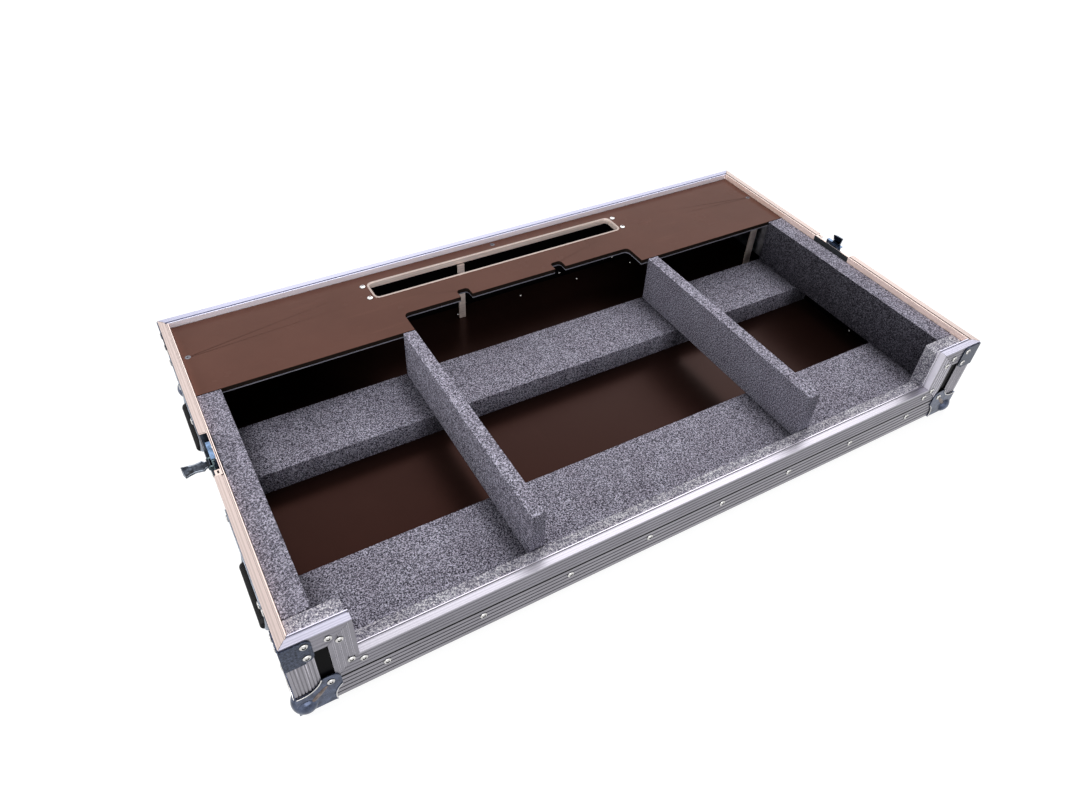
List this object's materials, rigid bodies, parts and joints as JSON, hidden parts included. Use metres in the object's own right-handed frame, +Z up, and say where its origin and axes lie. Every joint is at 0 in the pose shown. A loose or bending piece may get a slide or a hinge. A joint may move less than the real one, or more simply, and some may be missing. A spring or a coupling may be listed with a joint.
{
  "type": "flight case base tray",
  "caption": "Open base tray of a flight case for a mixer between two players, with foam bays, a slotted rear deck, side latches and recessed handles.",
  "frame": {"origin": "middle of the footprint, on the plane under the four ball corners", "axes": "+X to the right seen from the low front, +Y to the rear deck, +Z up"},
  "size_m": [1.1112, 0.612, 0.1605],
  "materials": {
    "deck_laminate": "brown phenolic laminate on birch ply, satin",
    "black_laminate": "black-brown phenolic laminate on birch ply, satin",
    "black_screw": "blackened steel",
    "satin_aluminium": "satin anodised",
    "fluted_aluminium": "extruded, fluted, satin anodised",
    "rivet_steel": "bright zinc, domed heads",
    "zinc_steel": "zinc plated, blue-grey",
    "latch_steel": "zinc plated, blue-grey",
    "handle_steel": "zinc plated wire",
    "black_rubber": "moulded black rubber",
    "charcoal_foam": "closed-cell polyethylene foam, speckled charcoal"
  },
  "bodies": {
    "case": {"floor_panel": "deck_laminate", "left_wall": "black_laminate", "right_wall": "black_laminate", "rear_wall": "black_laminate", "front_wall": "black_laminate", "rear_deck": "deck_laminate", "deck_battens": "black_laminate", "deck_screws": "black_screw", "deck_post": "satin_aluminium", "deck_angles": "satin_aluminium", "slot_liner": "satin_aluminium", "slot_rivets": "rivet_steel", "bottom_edge_front": "fluted_aluminium", "bottom_edge_rear": "fluted_aluminium", "bottom_edge_left": "fluted_aluminium", "bottom_edge_right": "fluted_aluminium", "corner_edges": "fluted_aluminium", "rim_rear": "fluted_aluminium", "rim_left": "fluted_aluminium", "rim_right": "fluted_aluminium", "rim_front": "fluted_aluminium", "rim_post_left": "fluted_aluminium", "rim_post_right": "fluted_aluminium", "corner_braces": "zinc_steel", "ball_corners": "zinc_steel", "front_rivets": "rivet_steel", "rear_rivets": "rivet_steel", "left_rivets": "rivet_steel", "right_rivets": "rivet_steel", "side_foam_left": "charcoal_foam", "side_foam_right": "charcoal_foam", "corner_foam_left": "charcoal_foam", "corner_foam_right": "charcoal_foam", "front_foam_strip": "charcoal_foam", "front_bar_foam": "charcoal_foam", "rear_bar_foam": "charcoal_foam", "divider_foam_left": "charcoal_foam", "divider_foam_right": "charcoal_foam", "latch_pan_left": "latch_steel", "latch_pan_right": "latch_steel", "handle_pan_left_front": "zinc_steel", "handle_pan_left_rear": "zinc_steel", "handle_pan_right_front": "zinc_steel", "handle_pan_right_rear": "zinc_steel", "handle_springs": "handle_steel"},
    "left_latch_hook": {"latch_hook_left": "latch_steel"},
    "left_latch_drum": {"latch_drum_left": "latch_steel"},
    "left_latch_wing": {"latch_wing_left": "latch_steel"},
    "left_front_handle": {"handle_bail_left_front": "handle_steel", "handle_grip_left_front": "black_rubber"},
    "left_rear_handle": {"handle_bail_left_rear": "handle_steel", "handle_grip_left_rear": "black_rubber"},
    "right_latch_hook": {"latch_hook_right": "latch_steel"},
    "right_latch_drum": {"latch_drum_right": "latch_steel"},
    "right_latch_wing": {"latch_wing_right": "latch_steel"},
    "right_front_handle": {"handle_bail_right_front": "handle_steel", "handle_grip_right_front": "black_rubber"},
    "right_rear_handle": {"handle_bail_right_rear": "handle_steel", "handle_grip_right_rear": "black_rubber"}
  },
  "joints": [
    {"name": "left_latch_turn", "type": "hinge", "parent": "case", "child": "left_latch_drum", "pos_m": [-0.53, 0, 0.1275], "axis": [-1, 0, 0], "range_deg": [0, 180]},
    {"name": "left_latch_draw", "type": "slide", "parent": "case", "child": "left_latch_hook", "axis": [0, 0, -1], "range_m": [0, 0.008]},
    {"name": "left_wing_fold", "type": "hinge", "parent": "left_latch_drum", "child": "left_latch_wing", "pos_m": [-0.5344, 0, 0.1275], "axis": [0, 1, 0], "range_deg": [0, 90]},
    {"name": "left_front_handle_swing", "type": "hinge", "parent": "case", "child": "left_front_handle", "pos_m": [-0.53, -0.157, 0.1005], "axis": [0, 1, 0], "range_deg": [0, 90], "stiffness_Nm_per_rad": 0.08, "springref_deg": -20.05},
    {"name": "left_rear_handle_swing", "type": "hinge", "parent": "case", "child": "left_rear_handle", "pos_m": [-0.53, 0.157, 0.1005], "axis": [0, 1, 0], "range_deg": [0, 90], "stiffness_Nm_per_rad": 0.08, "springref_deg": -20.05},
    {"name": "right_latch_turn", "type": "hinge", "parent": "case", "child": "right_latch_drum", "pos_m": [0.53, 0, 0.1275], "axis": [1, 0, 0], "range_deg": [0, 180]},
    {"name": "right_latch_draw", "type": "slide", "parent": "case", "child": "right_latch_hook", "axis": [0, 0, -1], "range_m": [0, 0.008]},
    {"name": "right_wing_fold", "type": "hinge", "parent": "right_latch_drum", "child": "right_latch_wing", "pos_m": [0.5344, 0, 0.1275], "axis": [0, 1, 0], "range_deg": [0, 90]},
    {"name": "right_front_handle_swing", "type": "hinge", "parent": "case", "child": "right_front_handle", "pos_m": [0.53, -0.157, 0.1005], "axis": [0, -1, 0], "range_deg": [0, 90], "stiffness_Nm_per_rad": 0.08, "springref_deg": -20.05},
    {"name": "right_rear_handle_swing", "type": "hinge", "parent": "case", "child": "right_rear_handle", "pos_m": [0.53, 0.157, 0.1005], "axis": [0, -1, 0], "range_deg": [0, 90], "stiffness_Nm_per_rad": 0.08, "springref_deg": -20.05}
  ],
  "couplings": [
    {"joint": "left_latch_turn", "follows": "left_latch_draw", "rad_per_m": 392.69},
    {"joint": "right_latch_turn", "follows": "right_latch_draw", "rad_per_m": 392.69}
  ]
}
